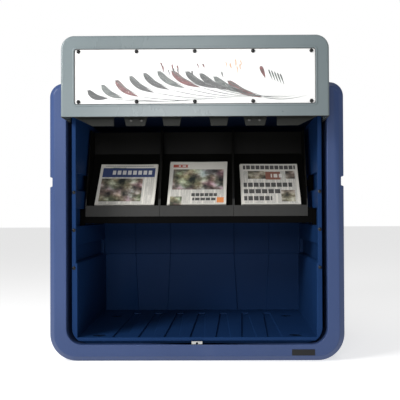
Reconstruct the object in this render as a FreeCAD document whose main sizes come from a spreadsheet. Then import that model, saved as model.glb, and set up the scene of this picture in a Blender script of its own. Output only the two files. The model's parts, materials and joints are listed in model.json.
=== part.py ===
"""Newspaper vending box: a moulded cabinet with an up-and-over door and a three-bin shelf.

Millimetres, +X right, +Y towards the back, +Z up. The origin is on the ground, in the middle of the
box, directly below the axis that the door turns on. The door is modelled raised.
"""
import FreeCAD, Part
import math
import os
import re
import Sketcher

doc = FreeCAD.newDocument("newspaper_box")

# ---------------------------------------------------------------- driving dimensions
DIMENSIONS = {
    # cabinet
    "cabinet_width": 1270, "cabinet_height": 1200, "rim_front": 420, "cabinet_rear": 430,
    "skin": 5, "foot_radius": 116, "ear_radius": 60, "rim_bevel": 24, "grip_draft": 3,
    "side_wall": 75.5, "sill_height": 73, "opening_radius": 69, "grip_low": 750, "grip_span": 43,
    "grip_depth": 13, "drain_width": 18, "drain_length": 160, "back_clearance": 9,
    # pivot
    "pivot_height": 612, "pin_radius": 10, "pin_head_radius": 22, "pin_head_depth": 6,
    "bush_wall": 4, "bush_depth": 12, "washer_depth": 3, "running_gap": 0.5, "pin_boss_radius": 28,
    # liner
    "side_gap": 19.5, "liner_wall": 18, "plinth_step": 6, "liner_inset": 20, "bay_wall": 19,
    "rear_gap": 86, "liner_height": 1060, "floor_rise": 28, "floor_angle": 1.5, "floor_skin": 8,
    "lip_relief": 12, "lip_relief_depth": 15, "step_height": 420, "slot_depth": 16, "slot_margin": 25,
    "slot_lift": 4, "slot_pitch": 156.5, "slot_high_span": 76,
    "channel_depth": 9, "channel_inner_top": 170, "channel_inner_foot": 187,
    "channel_outer_top": 357, "channel_outer_foot": 341,
    "groove_pitch": 112, "groove_front_width": 65, "groove_back_width": 33, "groove_depth": 6,
    "groove_stop": 105, "groove_margin": 8,
    "anchor_inset_x": 92, "anchor_inset_y": 54, "anchor_span": 480, "anchor_hole": 7,
    "dimple_radius": 30, "dimple_depth": 4, "dimple_floor": 2, "sleeve_radius": 20,
    "roof_thickness": 12, "roof_drop": 25, "roof_lip": 72, "roof_flange": 10, "roof_edge": 10,
    "dome_radius": 8, "dome_height": 4.5, "dome_shank": 3, "dome_length": 11, "fixing_drop": 20,
    "fixing_pitch": 163.5,
    # shelf
    "shelf_offset": -7, "bin_side_gap": 15, "bin_gap": 1, "bin_wall": 4, "bin_inset": 160,
    "bin_lift": 40.5, "lip_span": 50, "lip_drop": 7, "ledge_depth": 28, "bin_depth": 210,
    "knee_drop": 107, "bin_headroom": 30, "cheek_depth": 130, "rail_depth": 30, "rail_drop": 31,
    "rail_wall": 3, "rail_end_gap": 1, "rear_rail_height": 28, "rear_rail_depth": 30,
    "rear_rail_drop": 22, "block_lap": 6, "paper_width": 276, "paper_stack": 16, "paper_length": 265,
    # door
    "door_gap": 6.5, "door_wall": 6, "mating_gap": 2, "header_depth": 336, "rear_depth": 190,
    "door_radius": 55, "door_edge_radius": 8,
    "seal_depth": 1.6, "arm_width": 90, "arm_rise": 60, "arm_thickness": 5, "washer_play": 0.3,
    "arm_bolt_radius": 8, "arm_bolt_height": 3.5, "arm_bolt_shank": 4,
    "poster_border": 55, "poster_foot": 49, "poster_head": 56, "poster_recess": 3,
    "poster_sheet_depth": 0.5, "poster_cover_depth": 2, "poster_screw_pitch": 240,
    "poster_screw_inset": 12, "poster_screw_radius": 8, "poster_screw_height": 4.5,
    "poster_screw_shank": 3, "poster_screw_length": 4,
    "rib_inset": 42, "rib_depth": 13, "rib_reach": 34, "rib_panel_rise": 70,
    "rib_bolt_near": 225, "rib_bolt_far": 268, "rib_bolt_drop": 10, "rib_bolt_radius": 7,
    "rib_bolt_height": 4, "rib_bolt_shank": 3.5,
    "window_inset": 123, "window_near": 340, "window_margin": 105, "window_lap": 16,
    "window_pane": 4, "gasket_depth": 8,
    "grip_half": 130, "grip_inset": 75, "grip_reach": 80, "grip_cup_depth": 34, "cup_wall": 3,
    # lock
    "lock_inset": 47, "housing_radius": 22, "housing_inset": 7, "housing_length": 53,
    "barrel_radius": 11, "stem_radius": 5, "stem_drop": 108, "rod_gap": 0.5, "rod_radius": 4,
    "rod_rise": 3, "carriage_height": 12, "carriage_drop": 70, "rod_travel": 20,
    "guide_width": 30, "guide_height": 14, "keeper_half": 23, "keeper_inset": 6,
    "keeper_depth": 26, "keeper_plate": 3, "keeper_rise": 13, "keeper_screw_spread": 14,
    "keeper_screw_back": 20, "keeper_screw_radius": 4.5, "keeper_screw_shank": 2,
    "low_guide_rise": 86, "guide_pitch": 110,
    # stops
    "stop_radius": 8, "stop_rise": 318, "badge_half": 49, "badge_inset": 180,
    "badge_low": 26, "badge_high": 52, "badge_depth": 2,
}

# Sizes that follow from the others; each word stands for its expression wherever it is used.
FOLLOWS = {
    "opening_half": "cabinet_width / 2 - side_wall",
    "grip_high": "grip_low + grip_span",
    "liner_half": "opening_half - side_gap",
    "bay_half": "liner_half - liner_wall",
    "roof_half": "liner_half - roof_edge",
    "liner_front": "rim_front - liner_inset",
    "liner_rear": "cabinet_rear - rear_gap",
    "bay_back": "liner_rear - bay_wall",
    "floor_front": "sill_height + floor_rise",
    "roof_rise": "liner_height + roof_lip",
    "slot_low": "step_height + slot_lift",
    "slot_start": "liner_front - slot_margin",
    "slot_end": "bay_back - slot_margin",
    "groove_back": "bay_back - groove_stop",
    "anchor_half_x": "bay_half - anchor_inset_x",
    "anchor_front": "liner_front - anchor_inset_y",
    "fixing_low": "step_height - fixing_drop",
    "bin_width": "(bay_half - bin_side_gap) * 2 / 3",
    "bin_front": "liner_front - bin_inset",
    "bin_foot": "slot_low + slot_pitch + bin_lift",
    "lip_top": "bin_foot + lip_span",
    "ledge_height": "lip_top - lip_drop",
    "ledge_back": "bin_front - ledge_depth",
    "bin_back": "bin_front - bin_depth",
    "bin_top": "liner_height - bin_headroom",
    "knee_height": "bin_top - knee_drop",
    "bin_cheek_top": "bin_front - cheek_depth",
    "door_half": "opening_half - door_gap",
    "door_front": "pivot_height - sill_height + door_wall",
    "mating_height": "pivot_height + rim_front + mating_gap",
    "back_height": "mating_height - back_clearance",
    "header_top": "mating_height + header_depth",
    "door_rear_top": "mating_height + rear_depth",
    "poster_half": "door_half - poster_border",
    "poster_low": "mating_height + poster_foot",
    "poster_high": "header_top - poster_head",
    "rib_front": "door_front - rib_inset",
    "rib_panel_top": "mating_height + rib_panel_rise",
    "window_half": "door_half - window_inset",
    "window_far": "door_front - window_margin",
    "grip_front": "door_front - grip_inset",
    "grip_back": "grip_front - grip_reach",
    "lock_y": "door_front - lock_inset",
    "housing_top": "header_top - housing_inset",
    "housing_foot": "housing_top - housing_length",
    "stem_end": "header_top - stem_drop",
    "rod_y": "door_front - door_wall - rod_radius - rod_gap",
    "rod_end": "mating_height + rod_rise",
    "carriage_top": "header_top - carriage_drop",
    "low_guide": "mating_height + low_guide_rise",
    "high_guide": "low_guide + guide_pitch",
    "keeper_front": "rim_front - keeper_inset",
    "keeper_back": "keeper_front - keeper_depth",
    "keeper_top": "sill_height + keeper_rise",
    "stop_height": "pivot_height + stop_rise",
    "badge_middle": "cabinet_width / 2 - badge_inset",
}

sizes = doc.addObject("Spreadsheet::Sheet", "Sizes")
for row, (alias, amount) in enumerate(DIMENSIONS.items(), 1):
    sizes.set(f"A{row}", alias)
    sizes.set(f"B{row}", str(amount))
    sizes.setAlias(f"B{row}", alias)
doc.recompute()

CELL = re.compile(r"\b(" + "|".join(DIMENSIONS) + r")\b")
FOLLOWER = re.compile(r"\b(" + "|".join(FOLLOWS) + r")\b")


def spell_out(text):
    """Puts expressions in place of the words that follow from other sizes."""
    text = str(text)
    while FOLLOWER.search(text):
        text = FOLLOWER.sub(lambda found: f"({FOLLOWS[found.group()]})", text)
    return text


def on_sheet(text):
    """Turns the words of an expression into cells of the sheet."""
    return CELL.sub(r"Sizes.\1", spell_out(text))


def amount(text):
    """The number that an expression on the sheet has now."""
    return float(sizes.evalExpression(spell_out(text)))


def bind(item, **places):
    """Ties properties to expressions; a double underscore in a name stands for a dot."""
    for place, text in places.items():
        item.setExpression(place.replace("__", "."), on_sheet(text))


# ---------------------------------------------------------------- helpers for bodies
# Each plane's sketch runs right and up as the plane is seen; PLANE_SIGN is the side of zero that its
# normal points to, and the third number says along which way a pad has to be reversed.
PLANES = {"across": ("XZ_Plane", -1), "side": ("YZ_Plane", 1), "flat": ("XY_Plane", 1)}


def new_body(name):
    made = doc.addObject("PartDesign::Body", name)
    made.Label = name
    return made


def new_sketch(owner, plane, start, tilt=None):
    """A sketch on one of the body's own planes, moved along the plane's axis to start.

    A tilt is an angle about X and the height where the tilted plane crosses the Z axis; start is then
    counted from that plane, along its own normal.
    """
    role, sign = PLANES[plane]
    face = [item for item in owner.Origin.OriginFeatures if item.Role == role][0]
    sketch = owner.newObject("Sketcher::SketchObject", owner.Name + "_sketch")
    sketch.AttachmentSupport = [(face, "")]
    sketch.MapMode = "FlatFace"
    if tilt is None:
        sketch.setExpression(".AttachmentOffset.Base.z", on_sheet(f"{sign} * ({start})"))
        return sketch
    angle, height = tilt
    about_x = FreeCAD.Rotation(FreeCAD.Vector(1, 0, 0), 1)
    sketch.AttachmentOffset = FreeCAD.Placement(FreeCAD.Vector(), about_x)
    sketch.setExpression(".AttachmentOffset.Rotation.Angle", on_sheet(angle))
    sketch.setExpression(".AttachmentOffset.Base.y", on_sheet(f"-({start}) * sin({angle})"))
    sketch.setExpression(".AttachmentOffset.Base.z", on_sheet(f"{height} + ({start}) * cos({angle})"))
    return sketch


def set_distance(sketch, kind, *reference_and_value):
    """Adds a constraint whose value is an expression."""
    *reference, text = reference_and_value
    index = sketch.addConstraint(Sketcher.Constraint(kind, *reference, amount(text)))
    sketch.setExpression(f"Constraints[{index}]", on_sheet(text))


def sign(value):
    return 0 if abs(value) < 1e-6 else math.copysign(1, value)


def corner_stops(corners, index):
    """Where an outline meets a corner and leaves it, and the middle of its rounding, if it has one."""
    right, up, *rounding = corners[index]
    if not rounding:
        return (right, up), (right, up), None
    spots = [(amount(corner[0]), amount(corner[1])) for corner in corners]
    here = spots[index]
    before = spots[index - 1]
    after = spots[(index + 1) % len(spots)]
    in_x, in_y = sign(before[0] - here[0]), sign(before[1] - here[1])
    out_x, out_y = sign(after[0] - here[0]), sign(after[1] - here[1])
    radius = rounding[0]
    entry = (f"{right} + {in_x} * ({radius})", f"{up} + {in_y} * ({radius})")
    leave = (f"{right} + {out_x} * ({radius})", f"{up} + {out_y} * ({radius})")
    middle = (f"{right} + {in_x + out_x} * ({radius})", f"{up} + {in_y + out_y} * ({radius})")
    return entry, leave, middle


def vector(spot):
    return FreeCAD.Vector(amount(spot[0]), amount(spot[1]), 0)


def draw_outline(sketch, corners):
    """Closes straight lines through corners, each held by its two distances from the origin.

    A third value rounds a square corner with an arc of that radius.
    """
    first = sketch.GeometryCount
    count = len(corners)
    stops = [corner_stops(corners, index) for index in range(count)]
    for index in range(count):
        leave = stops[index][1]
        entry = stops[(index + 1) % count][0]
        sketch.addGeometry(Part.LineSegment(vector(leave), vector(entry)))
    for index in range(count):
        line = first + index
        following = first + (index + 1) % count
        entry, leave, middle = stops[(index + 1) % count]
        set_distance(sketch, "DistanceX", -1, 1, following, 1, leave[0])
        set_distance(sketch, "DistanceY", -1, 1, following, 1, leave[1])
        if middle is None:
            sketch.addConstraint(Sketcher.Constraint("Coincident", line, 2, following, 1))
            continue
        set_distance(sketch, "DistanceX", -1, 1, line, 2, entry[0])
        set_distance(sketch, "DistanceY", -1, 1, line, 2, entry[1])
        draw_corner_arc(sketch, line, following, vector(entry), vector(leave), middle)


def draw_corner_arc(sketch, line, following, start, end, middle):
    """The arc from one line's end to the next line's start."""
    centre = vector(middle)
    turns_left = (start - centre).cross(end - centre).z > 0
    one, two = (start, end) if turns_left else (end, start)
    angles = [math.atan2(spot.y - centre.y, spot.x - centre.x) for spot in (one, two)]
    circle = Part.Circle(centre, FreeCAD.Vector(0, 0, 1), (start - centre).Length)
    arc = sketch.GeometryCount
    sketch.addGeometry(Part.ArcOfCircle(circle, *angles))
    line_end, next_start = (1, 2) if turns_left else (2, 1)
    sketch.addConstraint(Sketcher.Constraint("Coincident", line, 2, arc, line_end))
    sketch.addConstraint(Sketcher.Constraint("Coincident", following, 1, arc, next_start))
    set_distance(sketch, "DistanceX", -1, 1, arc, 3, middle[0])


def draw_circle(sketch, right, up, radius):
    index = sketch.GeometryCount
    centre = FreeCAD.Vector(amount(right), amount(up), 0)
    sketch.addGeometry(Part.Circle(centre, FreeCAD.Vector(0, 0, 1), amount(radius)))
    set_distance(sketch, "DistanceX", -1, 1, index, 3, right)
    set_distance(sketch, "DistanceY", -1, 1, index, 3, up)
    set_distance(sketch, "Radius", index, radius)


def rectangle(left, low, right, high):
    return [(left, low), (right, low), (right, high), (left, high)]


def run_through(owner, kind, plane, start, end, outlines=(), circles=(), tilt=None):
    """Pads or pockets outlines and circles from start to end along the plane's axis."""
    sketch = new_sketch(owner, plane, start, tilt)
    for corners in outlines:
        draw_outline(sketch, corners)
    for right, up, radius in circles:
        draw_circle(sketch, right, up, radius)
    feature = owner.newObject(kind, owner.Name + "_step")
    feature.Profile = sketch
    bind(feature, Length=f"({end}) - ({start})")
    sketch_faces_back = PLANES[plane][1] < 0
    feature.Reversed = sketch_faces_back if kind == "PartDesign::Pad" else not sketch_faces_back
    before = 0 if owner.Tip is None or owner.Shape.isNull() else owner.Shape.Volume
    doc.recompute()
    if kind == "PartDesign::Pocket" and before - owner.Shape.Volume < 1e-3:
        raise RuntimeError(f"{owner.Name}: a pocket took nothing away")
    return feature


def pad(owner, plane, start, end, outlines=(), circles=(), tilt=None):
    return run_through(owner, "PartDesign::Pad", plane, start, end, outlines, circles, tilt)


def pocket(owner, plane, start, end, outlines=(), circles=(), tilt=None):
    return run_through(owner, "PartDesign::Pocket", plane, start, end, outlines, circles, tilt)


def edges_where(shape, wanted):
    """Names of the edges that wanted(one_end, other_end) picks."""
    names = []
    for number, edge in enumerate(shape.Edges, 1):
        ends = [vertex.Point for vertex in edge.Vertexes]
        if len(ends) == 2 and wanted(*ends):
            names.append(f"Edge{number}")
    return names


def round_edges(owner, radius, wanted):
    base = owner.Tip
    rounding = owner.newObject("PartDesign::Fillet", owner.Name + "_round")
    rounding.Base = (base, edges_where(base.Shape, wanted))
    bind(rounding, Radius=radius)
    doc.recompute()


def bevel_front(owner, front, size):
    """Chamfers every edge that bounds the face at Y = -front."""
    def on_front(one, other):
        return all(abs(end.y + amount(front)) < 1e-3 for end in (one, other))
    base = owner.Tip
    bevel = owner.newObject("PartDesign::Chamfer", owner.Name + "_bevel")
    bevel.Base = (base, edges_where(base.Shape, on_front))
    bind(bevel, Size=size)
    doc.recompute()


def box(name, left, right, near, far, low, high):
    made = doc.addObject("Part::Box", name)
    made.Label = name
    bind(made, Length=f"({right}) - ({left})", Width=f"({far}) - ({near})", Height=f"({high}) - ({low})",
         Placement__Base__x=left, Placement__Base__y=near, Placement__Base__z=low)
    return made


TURNS = {"x": ((0, 1, 0), 90), "-x": ((0, 1, 0), -90), "y": ((1, 0, 0), -90), "-y": ((1, 0, 0), 90),
         "z": ((0, 0, 1), 0), "-z": ((1, 0, 0), 180)}


def cylinder(name, way, centre, radius, length):
    """A cylinder that starts at centre and runs the way given."""
    made = doc.addObject("Part::Cylinder", name)
    made.Label = name
    axis, angle = TURNS[way]
    made.Placement.Rotation = FreeCAD.Rotation(FreeCAD.Vector(*axis), angle)
    bind(made, Radius=radius, Height=length, Placement__Base__x=centre[0], Placement__Base__y=centre[1],
         Placement__Base__z=centre[2])
    return made


def fuse(name, pieces):
    made = doc.addObject("Part::MultiFuse", name)
    made.Label = name
    made.Shapes = pieces
    doc.recompute()
    return made


def cut(name, base, tools):
    made = doc.addObject("Part::Cut", name)
    made.Label = name
    made.Base = base
    made.Tool = tools[0] if len(tools) == 1 else fuse(name + "_tools", tools)
    doc.recompute()
    return made


def group(name, pieces):
    """Separate solids of one kind under one name."""
    made = doc.addObject("Part::Compound", name)
    made.Label = name
    made.Links = pieces
    doc.recompute()
    return made


def dome_screw(name, way, centre, radius, height, shank, length):
    """A dome head on the face at centre, and a shank that runs the other way into it."""
    x, y, z = centre
    back = {"-y": "y", "-x": "x", "x": "-x", "z": "-z"}[way]
    head = doc.addObject("Part::Sphere", name + "_dome")
    ball = f"(({radius})^2 + ({height})^2) / (2 * ({height}))"
    sink = f"(({ball}) - ({height}))"
    steps = {"-y": (0, 1, 0), "-x": (1, 0, 0), "x": (-1, 0, 0), "z": (0, 0, -1)}[way]
    bind(head, Radius=ball, Placement__Base__x=f"{x} + {steps[0]} * {sink}",
         Placement__Base__y=f"{y} + {steps[1]} * {sink}", Placement__Base__z=f"{z} + {steps[2]} * {sink}")
    limit = cylinder(name + "_limit", way, centre, f"2 * ({radius})", f"2 * ({height})")
    cap = doc.addObject("Part::Common", name + "_cap")
    cap.Base = head
    cap.Tool = limit
    stem = cylinder(name + "_stem", back, centre, shank, length)
    return fuse(name, [cap, stem])


MADE = []


def keep(piece):
    MADE.append(piece)
    return piece


# ---------------------------------------------------------------- outer shell
SIDES = {"left": -1, "right": 1}
ANCHORS = [(side, row) for side in (-1, 1) for row in (0, 1)]


def anchor_spot(side, row):
    return f"{side} * anchor_half_x", f"anchor_span * {row} - anchor_front"


def make_outer_shell():
    shell = new_body("outer_shell")
    half = "cabinet_width / 2"
    outline = [(f"-{half}", "0", "foot_radius"), (half, "0", "foot_radius"),
               (half, "cabinet_height", "ear_radius"), (f"-{half}", "cabinet_height", "ear_radius")]
    pad(shell, "across", "-rim_front", "cabinet_rear", [outline])
    bevel_front(shell, "rim_front", "rim_bevel")
    grips = []
    for side in (-1, 1):
        grips.append([(f"{side} * ({half} + 1)", "grip_low"), (f"{side} * ({half} + 1)", "grip_high"),
                      (f"{side} * ({half} - grip_depth)", "grip_high - grip_draft"),
                      (f"{side} * ({half} - grip_depth)", "grip_low + grip_draft")])
    pocket(shell, "across", "-rim_front - 1", "cabinet_rear + 1", grips)
    opening = [("-opening_half", "sill_height", "opening_radius"), ("opening_half", "sill_height", "opening_radius"),
               ("opening_half", "cabinet_height + 1"), ("-opening_half", "cabinet_height + 1")]
    pocket(shell, "across", "-rim_front - 1", "cabinet_rear - skin", [opening])
    notch = rectangle("-opening_half", "back_height", "opening_half", "cabinet_height + 1")
    pocket(shell, "across", "cabinet_rear - skin - 1", "cabinet_rear + 1", [notch])
    make_double_skin(shell, half)
    posts = [(*anchor_spot(side, row), "sleeve_radius") for side, row in ANCHORS]
    pad(shell, "flat", "skin / 2", "sill_height - skin / 2", circles=posts)
    bores = [(*anchor_spot(side, row), "anchor_hole") for side, row in ANCHORS]
    pocket(shell, "flat", "-1", "sill_height + 1", circles=bores)
    pivot = ("0", "pivot_height", "pin_radius + bush_wall")
    for side in (-1, 1):
        near = "opening_half - 1" if side > 0 else f"-{half} - 1"
        far = f"{half} + 1" if side > 0 else "1 - opening_half"
        hub = ("0", "pivot_height", "pin_head_radius + 12")
        inner = "opening_half" if side > 0 else f"-{half}"
        outer = half if side > 0 else "-opening_half"
        pad(shell, "side", inner, outer, circles=[hub])
        pocket(shell, "side", near, far, circles=[pivot])
        head = ("0", "pivot_height", "pin_head_radius + running_gap")
        rebate = (f"{half} - pin_head_depth", f"{half} + 1")
        if side < 0:
            rebate = (f"-{half} - 1", f"pin_head_depth - {half}")
        pocket(shell, "side", *rebate, circles=[head])
    seat = rectangle("-keeper_half - running_gap", "-keeper_front - running_gap",
                     "keeper_half + running_gap", "running_gap - keeper_back")
    pocket(shell, "flat", "sill_height - keeper_plate", "sill_height + 1", [seat])
    return keep(shell)


def make_double_skin(shell, half):
    """Hollows the walls and base, leaving a skin all round, and opens drains below."""
    wide = f"{half} - skin"
    narrow = "opening_half + skin"
    grip = [(wide, "grip_low - skin"), (f"{wide} - grip_depth", "grip_low - skin + grip_draft"),
            (f"{wide} - grip_depth", "grip_high + skin - grip_draft"), (wide, "grip_high + skin")]
    right_side = [(wide, "skin", "foot_radius - skin")] + grip
    right_side += [(wide, "cabinet_height - skin", "ear_radius - skin"), (narrow, "cabinet_height - skin"),
                   (narrow, "sill_height - skin", "opening_radius + skin")]
    left_side = [(f"-({right})", *rest) for right, *rest in reversed(right_side)]
    pocket(shell, "across", "rim_bevel + skin - rim_front", "cabinet_rear - skin", [right_side + left_side])
    drains = []
    for side in (-1, 0, 1):
        for row in (-1, 1):
            middle_x = f"{side} * anchor_half_x / 2"
            middle_y = f"{row} * cabinet_rear / 2"
            drains.append(rectangle(f"{middle_x} - drain_width / 2", f"{middle_y} - drain_length / 2",
                                    f"{middle_x} + drain_width / 2", f"{middle_y} + drain_length / 2"))
    pocket(shell, "flat", "-1", "skin + 1", drains)


# ---------------------------------------------------------------- inner liner
FIXING_SPOTS = [(f"{side} * (liner_half + bay_half) / 2", f"fixing_low + {index} * fixing_pitch")
                for side in SIDES.values() for index in range(3)]
FLOOR_AT_AXIS = "floor_front + (liner_front - 20) * tan(floor_angle)"


def floor_height(back):
    """Height of the bay's floor at a distance behind the pivot."""
    return f"({FLOOR_AT_AXIS} + ({back}) * tan(floor_angle))"


def make_inner_liner():
    liner = new_body("inner_liner")
    outline = [("-liner_half", "sill_height", "opening_radius"), ("liner_half", "sill_height", "opening_radius"),
               ("liner_half", "liner_height"), ("-liner_half", "liner_height")]
    pad(liner, "across", "-liner_front", "liner_rear", [outline])
    relief = rectangle("-liner_front - 1", "sill_height - 1", "lip_relief_depth - liner_front",
                       "sill_height + lip_relief")
    pocket(liner, "side", "-liner_half - 1", "liner_half + 1", [relief])
    bay_front = "-liner_front - 1"
    upper_bay = [(bay_front, "step_height"), ("bay_back", "step_height"),
                 ("bay_back", "liner_height + 1"), (bay_front, "liner_height + 1")]
    pocket(liner, "side", "-bay_half", "bay_half", [upper_bay])
    lower_bay = [(bay_front, floor_height(bay_front)),
                 ("bay_back - plinth_step", floor_height("bay_back - plinth_step")),
                 ("bay_back - plinth_step", "step_height + 1"), (bay_front, "step_height + 1")]
    pocket(liner, "side", "plinth_step - bay_half", "bay_half - plinth_step", [lower_bay])
    slots = []
    for index in range(3):
        foot = f"slot_low + {index} * slot_pitch"
        slots.append(rectangle("-slot_start", foot, "slot_end", f"{foot} + slot_high_span"))
    pocket(liner, "side", "-bay_half - slot_depth", "bay_half + slot_depth", slots)
    for near, far in (("-liner_half", "-bay_half"), ("bay_half", "liner_half")):
        pad(liner, "side", near, far, circles=[("0", "pivot_height", "pin_boss_radius")])
    foot = floor_height("bay_back + channel_depth")
    upper, lower = [], []
    for side in (-1, 1):
        ends = f"{side} * channel_outer_top", f"{side} * channel_inner_top"
        upper.append([(ends[0], "step_height"), (ends[0], "liner_height + 1"), (ends[1], "liner_height + 1"),
                      (ends[1], "step_height")])
        lower.append([(f"{side} * channel_inner_foot", foot), (f"{side} * channel_outer_foot", foot),
                      (ends[0], "step_height"), (ends[1], "step_height")])
    pocket(liner, "across", "bay_back - 1", "bay_back + channel_depth", upper)
    pocket(liner, "across", "bay_back - plinth_step - 1", "bay_back - plinth_step + channel_depth", lower)
    hollow_under_floor(liner)
    cut_floor(liner)
    pin_bore = ("0", "pivot_height", "pin_radius + running_gap")
    pocket(liner, "side", "-liner_half - 1", "liner_half + 1", circles=[pin_bore])
    holes = [(x, height, "dome_shank") for x, height in FIXING_SPOTS]
    pocket(liner, "across", "-liner_front - 1", "dome_length - liner_front", circles=holes)
    return keep(liner)


def hollow_under_floor(liner):
    """Opens the floor from below, and leaves a post round each anchor hole."""
    near = "lip_relief_depth - liner_front + 2 * floor_skin"
    far = "liner_rear - 2 * floor_skin"
    hollow = [(near, "sill_height - 1"), (far, "sill_height - 1"),
              (far, f"{floor_height(far)} - groove_depth - floor_skin"),
              (near, f"{floor_height(near)} - groove_depth - floor_skin")]
    half = "liner_half - opening_radius"
    pocket(liner, "side", f"-({half})", half, [hollow])
    for side, row in ANCHORS:
        x, y = anchor_spot(side, row)
        top = f"{floor_height(y)} - dimple_depth - dimple_floor"
        pad(liner, "flat", "sill_height", top, circles=[(x, y, "sleeve_radius")])


def cut_floor(liner):
    """Seven drain grooves, the dimples round the anchor bolts and the bolt holes."""
    grooves = []
    for index in range(-3, 4):
        middle = f"{index} * groove_pitch"
        grooves.append([(f"{middle} - groove_front_width / 2", "groove_margin - liner_front"),
                        (f"{middle} + groove_front_width / 2", "groove_margin - liner_front"),
                        (f"{middle} + groove_back_width / 2", "groove_back"),
                        (f"{middle} - groove_back_width / 2", "groove_back")])
    floor_plane = ("floor_angle", FLOOR_AT_AXIS)
    pocket(liner, "flat", "-groove_depth", "2", grooves, tilt=floor_plane)
    dimples = [(*anchor_spot(side, row), "dimple_radius") for side, row in ANCHORS]
    pocket(liner, "flat", "-dimple_depth", "4", circles=dimples, tilt=floor_plane)
    bores = [(*anchor_spot(side, row), "anchor_hole") for side, row in ANCHORS]
    pocket(liner, "flat", "sill_height - 1", "floor_front + 60", circles=bores)


def make_roof_panel():
    roof = new_body("roof_panel")
    rear = "cabinet_rear - skin"
    side_view = [("-liner_front", "liner_height"), (f"{rear} - roof_flange", "liner_height"),
                 (f"{rear} - roof_flange", "back_height - roof_drop"), (rear, "back_height - roof_drop"),
                 (rear, "liner_height + roof_thickness"),
                 ("roof_flange - liner_front", "liner_height + roof_thickness"),
                 ("roof_flange - liner_front", "roof_rise"), ("-liner_front", "roof_rise")]
    pad(roof, "side", "-roof_half", "roof_half", [side_view])
    return keep(roof)


# ---------------------------------------------------------------- pivots and door arms
ARM_INNER = "(door_half - door_wall)"
ARM_BOLT_SPOTS = [(f"{row} * arm_width / 4", "mating_height + arm_rise / 2") for row in (-1, 1)]


def make_pivot(label, side):
    half = "cabinet_width / 2"
    outward = "x" if side > 0 else "-x"
    inward = "-x" if side > 0 else "x"
    head_face = f"{side} * ({half} - pin_head_depth + running_gap)"
    centre = (head_face, "0", "pivot_height")
    head = cylinder(f"pin_head_{label}", outward, centre, "pin_head_radius", "pin_head_depth - 1")
    shaft_length = f"{half} - pin_head_depth + running_gap - bay_half - plinth_step + 2"
    shaft = cylinder(f"pin_shaft_{label}", inward, centre, "pin_radius", shaft_length)
    keep(fuse(f"pivot_pin_{label}", [head, shaft]))
    bush_centre = (f"{side} * (opening_half + running_gap)", "0", "pivot_height")
    bush_length = f"{half} - pin_head_depth - opening_half - running_gap"
    ring = cylinder(f"bush_ring_{label}", outward, bush_centre, "pin_radius + bush_wall", bush_length)
    bore = cylinder(f"bush_bore_{label}", outward, bush_centre, "pin_radius", bush_length)
    keep(cut(f"pivot_bush_{label}", ring, [bore]))
    spans = {"inner": ("liner_half", ARM_INNER), "outer": (f"{ARM_INNER} + arm_thickness", "opening_half")}
    for place, (start, end) in spans.items():
        face = (f"{side} * ({start})", "0", "pivot_height")
        depth = f"({end}) - ({start}) - washer_play"
        disc = cylinder(f"washer_disc_{place}_{label}", outward, face, "pin_head_radius", depth)
        hole = cylinder(f"washer_hole_{place}_{label}", outward, face, "pin_radius", depth)
        keep(cut(f"pivot_washer_{place}_{label}", disc, [hole]))


def make_door_arm(label, side):
    arm = new_body(f"door_arm_{label}")
    inner = ARM_INNER
    outer = f"{ARM_INNER} + arm_thickness"
    start, end = (inner, outer) if side > 0 else (f"-({outer})", f"-({inner})")
    strap = rectangle("-arm_width / 2", "pivot_height", "arm_width / 2", "mating_height - seal_depth - 0.4")
    pad(arm, "side", start, end, [strap])
    pad(arm, "side", start, end, circles=[("0", "pivot_height", "arm_width / 2")])
    leaf_inner = f"{ARM_INNER} - arm_thickness"
    tongue = (leaf_inner, ARM_INNER) if side > 0 else (f"-{ARM_INNER}", f"-({leaf_inner})")
    leaf = rectangle("-arm_width / 2", "mating_height - arm_rise", "arm_width / 2", "mating_height + arm_rise")
    pad(arm, "side", *tongue, [leaf])
    pin_hole = ("0", "pivot_height", "pin_radius + running_gap")
    pocket(arm, "side", f"{start} - 1", f"{end} + 1", circles=[pin_hole])
    bolt_holes = [(y, z, "arm_bolt_shank") for y, z in ARM_BOLT_SPOTS]
    pocket(arm, "side", f"{tongue[0]} - 1", f"{tongue[1]} + 1", circles=bolt_holes)
    return keep(arm)


def make_arm_bolts():
    bolts = []
    for label, side in SIDES.items():
        for index, (y, z) in enumerate(ARM_BOLT_SPOTS, 1):
            way = "x" if side > 0 else "-x"
            bolts.append(dome_screw(f"arm_bolt_{label}_{index}", way, (f"{side} * door_half", y, z), "arm_bolt_radius",
                                    "arm_bolt_height", "arm_bolt_shank", "door_wall + arm_thickness"))
    return keep(group("arm_bolts", bolts))


def make_stop(label, side):
    """A rubber stop across the gap, just behind the raised arm."""
    centre = (f"{side} * liner_half", "arm_width / 2 + stop_radius + running_gap", "stop_height")
    return keep(cylinder(f"stop_buffer_{label}", "x" if side > 0 else "-x", centre, "stop_radius",
                         "opening_half - liner_half"))


# ---------------------------------------------------------------- door
POSTER_SCREW_SPOTS = [(f"{column} * poster_screw_pitch", height) for column in range(-2, 3)
                      for height in ("poster_high - poster_screw_inset", "poster_low + poster_screw_inset")]
DOOR_SLOPE = "atan((header_top - door_rear_top) / (2 * door_front))"
DOOR_MIDDLE_TOP = "(header_top + door_rear_top) / 2"


def door_profile(inset, foot):
    """Side view of the tray, drawn in by inset from its outer faces."""
    drop = f"({inset}) / cos({DOOR_SLOPE}) "
    lean = f"(({inset}) * tan({DOOR_SLOPE}))"
    return [(f"({inset}) - door_front", foot), (f"door_front - ({inset})", foot),
            (f"door_front - ({inset})", f"door_rear_top - {drop} + {lean}"),
            (f"({inset}) - door_front", f"header_top - {drop} - {lean}")]


def sloping_edge(one, other):
    """Picks the two edges where the sloping top panel meets the cheeks."""
    along_side = abs(other.x - one.x) < 1e-3 and abs(one.y - other.y) > 100
    return along_side and abs(one.z - other.z) > 1


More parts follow.
